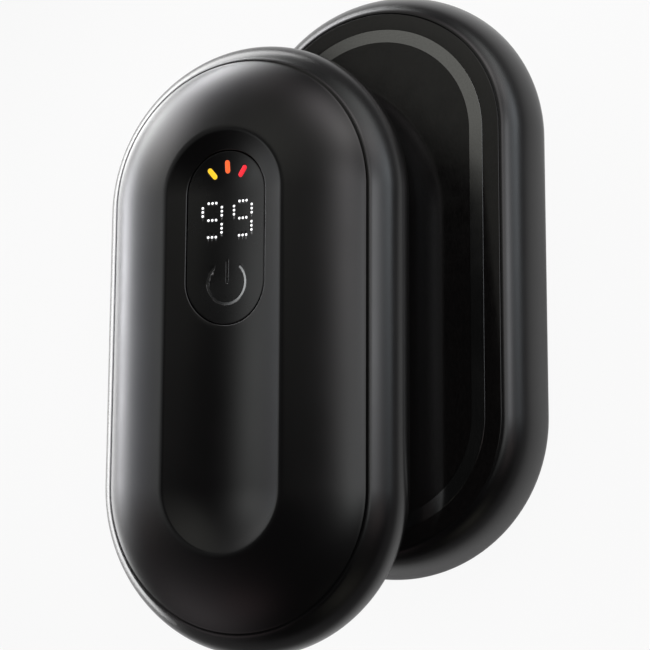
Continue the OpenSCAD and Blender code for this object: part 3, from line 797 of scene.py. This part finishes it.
def make_tongue(name):
    """Tongue block and tongue with a chamfered tip."""
    outline = slot_ring(USB_W - 2 * USB_WALL, USB_H - 2 * USB_WALL)
    block = capped([[(x, y, RIM_Z + z) for x, z in outline] for y in (USB_BACK, USB_BACK - TONGUE_BLOCK)])
    tongue = capped([
        [(sx * w / 2, y, RIM_Z + sz * t / 2) for sx, sz in ((-1, -1), (1, -1), (1, 1), (-1, 1))]
        for w, t, y in (
            (TONGUE_W, TONGUE_T, USB_BACK - TONGUE_BLOCK + TONGUE_ROOT),
            (TONGUE_W, TONGUE_T, TONGUE_Y + TONGUE_TIP),
            (TONGUE_W - 2 * TONGUE_TIP, TONGUE_T - TONGUE_TIP, TONGUE_Y),
        )
    ])
    return joined(name, [block, tongue], SMOOTH_FINE)


def make_contacts(name):
    """Contact strips on each face of the tongue."""
    near, far = TONGUE_Y + CONTACT_FROM, TONGUE_Y + CONTACT_TO
    half = CONTACT_W / 2
    parts = []
    for side in (-1, 1):
        face = RIM_Z + side * TONGUE_T / 2
        for i in range(CONTACTS):
            x = (i - (CONTACTS - 1) / 2) * CONTACT_PITCH
            parts.append(capped([
                [(x - half + inset, near + inset, z), (x + half - inset, near + inset, z),
                 (x + half - inset, far - inset, z), (x - half + inset, far - inset, z)]
                for inset, z in ((0, face), (CONTACT_EDGE, face + side * CONTACT_H))
            ]))
    return joined(name, parts, SMOOTH_FINE)


# Materials

# Range of the noise that counts, the fine and the slow noise's own values, and the least roughness
NOISE_SPAN = (0.3, 0.7)
FINE_NOISE = {"Detail": 3.0, "Roughness": 0.6}
SLOW_NOISE = {"Detail": 4.0, "Roughness": 0.55}
LEAST_ROUGHNESS = 0.02


def feed(tree, made, inputs):
    """Fills a node's sockets: an output is linked, anything else becomes the socket's own value."""
    for key, value in inputs.items():
        if isinstance(value, bpy.types.NodeSocket):
            tree.links.new(value, made.inputs[key])
        else:
            made.inputs[key].default_value = value


def node(tree, kind, inputs=None, **settings):
    """New shader node."""
    made = tree.nodes.new("ShaderNode" + kind)
    for key, value in settings.items():
        setattr(made, key, value)
    feed(tree, made, inputs or {})
    return made


def maths(tree, operation, *values, clamp=False):
    """Output of a maths node whose inputs are outputs or numbers."""
    return node(tree, "Math", dict(enumerate(values)), operation=operation, use_clamp=clamp).outputs[0]


def vector_maths(tree, operation, *values):
    """Outputs of a vector maths node whose inputs are outputs or triples."""
    return node(tree, "VectorMath", dict(enumerate(values)), operation=operation).outputs


def map_range(tree, value, source, target=(0.0, 1.0), kind="LINEAR"):
    """Output that carries a value from one range over to another."""
    return node(tree, "MapRange", {
        "Value": value,
        "From Min": source[0], "From Max": source[1],
        "To Min": target[0], "To Max": target[1],
    }, interpolation_type=kind).outputs["Result"]


def finish(
    name, colour, roughness, *, grain, bump, metallic=0.0, tint=0.15, blotch=60.0,
    rough_spread=0.04, stretch=(1, 1, 1), emission=None, strength=0.0,
):
    """Procedural finish: fine grain in colour and bump, slow changes in roughness.

    grain and blotch are features per metre, bump is a height in millimetres, and tint and rough_spread say
    how much the noise changes the colour and the roughness.
    """
    material = bpy.data.materials.new(name)
    material.use_nodes = True
    tree = material.node_tree
    place = node(tree, "TexCoord").outputs["Object"]
    spot = node(tree, "Mapping", {"Vector": place, "Scale": stretch}).outputs["Vector"]
    fine = node(tree, "TexNoise", {"Vector": spot, "Scale": grain, **FINE_NOISE}).outputs["Fac"]
    slow = node(tree, "TexNoise", {"Vector": spot, "Scale": blotch, **SLOW_NOISE}).outputs["Fac"]
    shade = node(tree, "Mix", {
        "Factor": 1.0, "A": (*colour, 1), "B": map_range(tree, fine, NOISE_SPAN, (1 - tint, 1 + tint)),
    }, data_type="RGBA", blend_type="MULTIPLY")
    least, most = max(roughness - rough_spread, LEAST_ROUGHNESS), roughness + rough_spread
    relief = node(tree, "Bump", {"Strength": 1.0, "Distance": bump * MM, "Height": fine})
    shader = tree.nodes["Principled BSDF"]
    feed(tree, shader, {
        "Base Color": shade.outputs["Result"], "Roughness": map_range(tree, slow, NOISE_SPAN, (least, most)),
        "Normal": relief.outputs["Normal"], "Metallic": metallic,
    })
    if emission:
        feed(tree, shader, {"Emission Color": (*emission, 1), "Emission Strength": strength})
    return material


FINISHES = {
    "satin_shell": finish("satin_coat", (0.0032, 0.003, 0.0032), 0.24, tint=0.35, grain=7000, bump=0.0008,
                          blotch=90, rough_spread=0.02),
    "soft_seal": finish("seal_rubber", (0.008, 0.008, 0.008), 0.75, grain=3000, bump=0.01),
    "mating_gloss": finish("panel_gloss", (0.0045, 0.004, 0.004), 0.1, tint=0.5, grain=2600, bump=0.001,
                           blotch=300, rough_spread=0.03),
    "ring_grey": finish("ring_satin", (0.26, 0.26, 0.262), 0.11, metallic=1.0, tint=0.12, grain=4000,
                        bump=0.0003),
    "magnet_plating": finish("nickel_plate", (0.62, 0.6, 0.56), 0.18, metallic=1.0, grain=2500, bump=0.001),
    "heater_film": finish("amber_film", (0.42, 0.2, 0.05), 0.32, grain=1500, bump=0.004),
    "foam": finish("pad_foam", (0.035, 0.035, 0.038), 0.9, tint=0.4, grain=2200, bump=0.05),
    "cell_foil": finish("pouch_foil", (0.55, 0.56, 0.58), 0.34, metallic=0.9, grain=900, bump=0.02),
    "nickel": finish("strip_nickel", (0.58, 0.56, 0.52), 0.3, metallic=1.0, grain=2600, bump=0.002,
                     stretch=(1, 6, 1)),
    "frame_plastic": finish("frame_moulding", (0.03, 0.03, 0.034), 0.5, grain=3200, bump=0.006),
    "screw_steel": finish("screw_zinc", (0.5, 0.5, 0.52), 0.28, metallic=1.0, grain=3000, bump=0.002),
    "board_green": finish("solder_mask", (0.012, 0.075, 0.035), 0.35, tint=0.3, grain=1400, bump=0.006),
    "chip_black": finish("chip_epoxy", (0.015, 0.015, 0.016), 0.55, grain=5000, bump=0.004),
    "socket_steel": finish("socket_sheet", (0.52, 0.52, 0.54), 0.24, metallic=1.0, grain=2500, bump=0.001,
                           stretch=(1, 5, 1)),
    "tongue_black": finish("tongue_moulding", (0.012, 0.012, 0.013), 0.45, grain=4000, bump=0.003),
    "cable_film": finish("cable_amber", (0.3, 0.12, 0.02), 0.3, grain=1500, bump=0.003),
    "light_block": finish("light_moulding", (0.75, 0.75, 0.72), 0.45, grain=3000, bump=0.004),
    "led_lens": finish("lens_resin", (0.75, 0.68, 0.4), 0.2, grain=2000, bump=0.001),
    "switch_black": finish("switch_moulding", (0.02, 0.02, 0.022), 0.5, grain=3600, bump=0.004),
    "plunger_ivory": finish("plunger_moulding", (0.6, 0.55, 0.44), 0.42, grain=3600, bump=0.003),
    "key_gloss": finish("key_smoke", (0.004, 0.004, 0.0042), 0.26, tint=0.2, grain=6000, bump=0.0006,
                        blotch=120),
    "dot_white": finish("dot_light", (0.8, 0.82, 0.85), 0.3, grain=5000, bump=0.0005,
                        emission=(1, 1, 1), strength=1.0),
    "level_yellow": finish("level_light_low", (0.82, 0.5, 0.03), 0.3, grain=5000, bump=0.0005,
                           emission=(0.82, 0.52, 0.02), strength=0.9),
    "level_orange": finish("level_light_mid", (0.87, 0.13, 0.03), 0.3, grain=5000, bump=0.0005,
                           emission=(0.86, 0.12, 0.03), strength=0.9),
    "level_red": finish("level_light_high", (0.75, 0.02, 0.05), 0.3, grain=5000, bump=0.0005,
                        emission=(0.72, 0.018, 0.025), strength=0.9),
}
MARK = finish("mark_inlay", (0.46, 0.46, 0.47), 0.14, metallic=1.0, grain=5000, bump=0.0004)
GOLD = finish("contact_gold", (0.75, 0.5, 0.2), 0.25, metallic=1.0, grain=4000, bump=0.0005)


def wear(obj, material):
    """Makes a material the only one of an object."""
    obj.data.materials.clear()
    obj.data.materials.append(material)


# The two halves

for part in frame["record"]["subparts"]:
    wear(frame["nodes"][part["node"]], FINISHES[part["material_slot"]])


def add(obj, matrix, body, slot, replaced, material):
    """Places a piece, gives it its slot's finish or a material of its own, and lets it ride on its body."""
    obj.data.transform(matrix)
    wear(obj, material or FINISHES[slot])
    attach(obj, body)
    if replaced:
        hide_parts(*replaced)


for side, matrix in (("upper", UPPER), ("lower", LOWER)):
    half, key = side + "_half", side + "_key"
    for label, maker, body, slot, replaced, material in (
        ("cover", make_cover, half, "satin_shell", ["outer_shell"], None),
        ("tub", make_tub, half, "satin_shell", ["mating_shell"], None),
        ("bosses", make_bosses, half, "satin_shell", [], None),
        ("seal", make_seal, half, "soft_seal", ["seam_gasket"], None),
        ("panel", make_panel, half, "mating_gloss", ["mating_panel"], None),
        ("ring", make_ring, half, "ring_grey", ["mating_ring"], None),
        ("key", make_key, key, "key_gloss", ["key_panel"], None),
        ("dots", make_dots, key, "dot_white", ["digit_dots"], None),
        ("low_light", lambda n: make_level(n, -1), key, "level_yellow", ["level_low"], None),
        ("mid_light", lambda n: make_level(n, 0), key, "level_orange", ["level_mid"], None),
        ("high_light", lambda n: make_level(n, 1), key, "level_red", ["level_high"], None),
        ("power_mark", make_mark, key, "key_gloss", [], MARK),
        ("socket", make_socket, half, "socket_steel", ["usb_socket"], None),
        ("tongue", make_tongue, half, "tongue_black", ["usb_tongue"], None),
        ("contacts", make_contacts, half, "nickel", [], GOLD),
    ):
        piece = maker(side + "_" + label + "_skin")
        add(piece, matrix, body, slot, [side + "_" + r for r in replaced], material)


# Camera

# Fitted to the photograph's outlines: the view's direction, its distance and the place of the picture's
# middle beside the upper half's, in millimetres, and the picture's scale there
TURN = math.radians(24.0)
TILT = math.radians(-6.84)
ROLL = math.radians(0.28)
DISTANCE = 220.0
ASIDE = (8.375, 4.087)
PIXELS_PER_MM = 5.89
PICTURE = 650
SENSOR = 36.0
CLIP = (0.005, 50)

back = Vector((math.sin(TURN) * math.cos(TILT), math.sin(TILT), math.cos(TURN) * math.cos(TILT)))
right = Vector((0, 1, 0)).cross(back).normalized()
up = back.cross(right)
right, up = (
    right * math.cos(ROLL) + up * math.sin(ROLL),
    up * math.cos(ROLL) - right * math.sin(ROLL),
)
target = Vector((SHIFT_X, SHIFT_Y, FACE_Z))
place = (target + right * ASIDE[0] + up * ASIDE[1] + back * DISTANCE) * MM
camera_data = bpy.data.cameras.new("camera")
camera_data.sensor_width = SENSOR
camera_data.lens = SENSOR * PIXELS_PER_MM * DISTANCE / PICTURE
camera_data.clip_start, camera_data.clip_end = CLIP
camera = bpy.data.objects.new("camera", camera_data)
bpy.context.scene.collection.objects.link(camera)
camera.matrix_world = Matrix((
    (right.x, up.x, back.x, place.x),
    (right.y, up.y, back.y, place.y),
    (right.z, up.z, back.z, place.z),
    (0, 0, 0, 1),
))
bpy.context.scene.camera = camera


# Floor and studio light

# Share of plain white in what the camera and the gloss see of the floor, and in what the gloss sees of the
# world
FLOOR_SEEN, FLOOR_IN_GLOSS, WORLD_IN_GLOSS = 0.92, 0.9, 0.01
# The floor's half side and how far it lies below the object, in metres
FLOOR_REACH = 6.0
FLOOR_DROP = 0.00002
# The floor's colour is a painted pool of light with painted shade round it: it goes from pale to dark
# between two distances from the middle, in metres, and the white in the gloss fades out with it
FLOOR_NEAR, FLOOR_FAR = 0.06, 0.13
FLOOR_PALE, FLOOR_PAINTED_SHADE = 0.86, 0.25
FLOOR_ROUGHNESS = 0.9
# A painted shadow under the object in what the gloss sees of the floor, where the gloss sees no white:
# how much slimmer than long the object is, and the two distances between which the white sets in
FLOOR_SHADOW_WAIST, FLOOR_PAINTED_SHADOW = 1.4, (0.05, 0.075)

# Soft lights round the object, fitted to the tones of the photograph: sharpness, azimuth from +X towards +Y
# and height in degrees, strength in red, green and blue
LIGHTS = [
    (60, 166.4, -3.3, (16.13, 16.25, 17.05)),
    (60, 146.3, -0.5, (11.69, 11.81, 11.74)),
    (40, 126.2, 2.3, (9.38, 9.31, 9.71)),
    (40, 113.8, -2.3, (7.02, 7.18, 7.11)),
    (60, 178.8, 1.2, (6.37, 6.37, 6.56)),
    (60, 10.6, 32.4, (4.36, 4.39, 4.54)),
    (22, 20.0, -2.0, (3.10, 3.30, 3.50)),
    (60, 143.4, 18.9, (3.43, 3.37, 3.45)),
    (60, 55.5, 40.2, (2.93, 2.82, 2.79)),
    (60, 27.7, 55.2, (2.37, 2.28, 2.32)),
    (20, 53.6, 6.1, (1.85, 1.90, 1.88)),
    (60, 38.3, 21.1, (1.78, 1.67, 1.70)),
    (60, -4.7, 52.3, (1.56, 1.60, 1.58)),
    (60, 75.5, 36.7, (1.60, 1.48, 1.53)),
    (60, 155.8, 23.8, (1.50, 1.48, 1.42)),
    (60, 172.9, 43.5, (1.38, 1.41, 1.39)),
    (60, 175.8, 20.8, (0.84, 0.90, 1.00)),
    (20, -131.7, 19.7, (0.59, 0.53, 0.55)),
    (60, -14.2, 22.3, (0.52, 0.43, 0.42)),
    (60, 103.2, 24.9, (0.39, 0.33, 0.34)),
    (40, -59.1, 15.6, (0.24, 0.23, 0.19)),
    (60, -114.5, 38.4, (0.23, 0.15, 0.16)),
    (60, -171.8, 25.7, (0.21, 0.16, 0.14)),
]

# A light card with one straight upright edge, which the glossy panel mirrors: sharpness, azimuth, height,
# strength, azimuth of the edge and how soft the edge is
CARD = (14, 112, 60, (0.52, 0.52, 0.48), 141.3, 0.012)

# Low cards beside the object that lighten its far edges, unseen by the camera: centre, size, turn in degrees
# and brightness
LOW_CARDS = [
    ((-0.21, 0.01), (0.24, 0.24), 0, 5.2),
    ((-0.14, 0.18), (0.24, 0.16), -45, 5.2),
]
LOW_CARD_Z = 0.001

WHITE = (1, 1, 1, 1)


def toward(azimuth, height):
    """Unit vector from azimuth and height in degrees."""
    a, h = math.radians(azimuth), math.radians(height)
    return math.cos(a) * math.cos(h), math.sin(a) * math.cos(h), math.sin(h)


def white_share(tree, seen, in_gloss):
    """Share of plain white for camera rays, and for glossy and transmission rays."""
    rays = node(tree, "LightPath").outputs
    bounced = maths(tree, "ADD", rays["Is Glossy Ray"], rays["Is Transmission Ray"], clamp=True)
    for_camera = maths(tree, "MULTIPLY", rays["Is Camera Ray"], seen)
    return maths(tree, "ADD", for_camera, maths(tree, "MULTIPLY", bounced, in_gloss), clamp=True)


def soft_light(tree, heading, sharpness, azimuth, height, colour, share=None):
    """Light that falls off smoothly round its middle; share is an extra factor."""
    aligned = vector_maths(tree, "DOT_PRODUCT", heading, toward(azimuth, height))["Value"]
    away = maths(tree, "SUBTRACT", aligned, 1.0)
    soft = maths(tree, "EXPONENT", maths(tree, "MULTIPLY", away, sharpness))
    if share is not None:
        soft = maths(tree, "MULTIPLY", soft, share)
    return node(tree, "VectorMath", {0: colour, "Scale": soft}, operation="SCALE").outputs["Vector"]


def card_light(tree, heading):
    """Soft light that ends at an upright edge."""
    *light, edge, softness = CARD
    beside = vector_maths(tree, "DOT_PRODUCT", heading, toward(edge - 90, 0))["Value"]
    return soft_light(tree, heading, *light, map_range(tree, beside, (0.0, softness), kind="SMOOTHSTEP"))


def make_floor():
    """White floor keeping the object's soft shadow, with a painted pool of light and a painted shadow."""
    r, z = FLOOR_REACH, -FLOOR_DROP
    floor = new_object("floor", [(-r, -r, z), (r, -r, z), (r, r, z), (-r, r, z)], [(0, 1, 2, 3)])
    material = bpy.data.materials.new("floor_white")
    material.use_nodes = True
    tree = material.node_tree
    place = node(tree, "TexCoord").outputs["Object"]
    distance = vector_maths(tree, "LENGTH", place)["Value"]
    # Painted pool of light: the floor's colour is pale near the object and painted shade further out
    near = map_range(tree, distance, (FLOOR_NEAR, FLOOR_FAR), (1.0, 0.0), "SMOOTHSTEP")
    painted_shade_far, pale = (*[FLOOR_PAINTED_SHADE] * 3, 1), (*[FLOOR_PALE] * 3, 1)
    shade = node(tree, "Mix", {"Factor": near, "A": painted_shade_far, "B": pale}, data_type="RGBA")
    shader = tree.nodes["Principled BSDF"]
    feed(tree, shader, {"Base Color": shade.outputs["Result"], "Roughness": FLOOR_ROUGHNESS})
    # Painted shadow: under the object the gloss sees no white of the floor
    stretched = vector_maths(tree, "MULTIPLY", place, (FLOOR_SHADOW_WAIST, 1.0, 1.0))["Vector"]
    clear = map_range(tree, vector_maths(tree, "LENGTH", stretched)["Value"], FLOOR_PAINTED_SHADOW, kind="SMOOTHSTEP")
    in_gloss = maths(tree, "MULTIPLY", maths(tree, "MULTIPLY", near, clear), FLOOR_IN_GLOSS)
    glow = node(tree, "Emission", {"Color": WHITE})
    mix = node(tree, "MixShader", {
        "Fac": white_share(tree, FLOOR_SEEN, in_gloss),
        1: shader.outputs["BSDF"],
        2: glow.outputs["Emission"],
    })
    feed(tree, tree.nodes["Material Output"], {"Surface": mix.outputs["Shader"]})
    wear(floor, material)


def make_world():
    """Studio of soft lights; the camera sees it white."""
    world = bpy.data.worlds.new("studio")
    bpy.context.scene.world = world
    world.use_nodes = True
    tree = world.node_tree
    tree.nodes.clear()
    heading = node(tree, "TexCoord").outputs["Generated"]
    total = card_light(tree, heading)
    for light in LIGHTS:
        total = vector_maths(tree, "ADD", total, soft_light(tree, heading, *light))["Vector"]
    studio = node(tree, "Background", {"Color": total})
    white = node(tree, "Background", {"Color": WHITE})
    mix = node(tree, "MixShader", {
        "Fac": white_share(tree, 1.0, WORLD_IN_GLOSS),
        1: studio.outputs["Background"],
        2: white.outputs["Background"],
    })
    node(tree, "OutputWorld", {"Surface": mix.outputs["Shader"]})


def make_low_cards():
    """Lamps that lie beside the object and shine up, which the camera doesn't see."""
    for i, ((x, y), (wide, deep), turn, brightness) in enumerate(LOW_CARDS):
        data = bpy.data.lights.new("low_card_%d" % i, "AREA")
        data.shape = "RECTANGLE"
        data.size, data.size_y = wide, deep
        data.energy = brightness * math.pi * wide * deep
        lamp = bpy.data.objects.new(data.name, data)
        bpy.context.scene.collection.objects.link(lamp)
        lamp.location = (x, y, LOW_CARD_Z)
        lamp.rotation_euler = (math.pi, 0, math.radians(turn))
        lamp.visible_camera = False


make_floor()
make_world()
make_low_cards()
bpy.context.scene.view_settings.view_transform = "Standard"
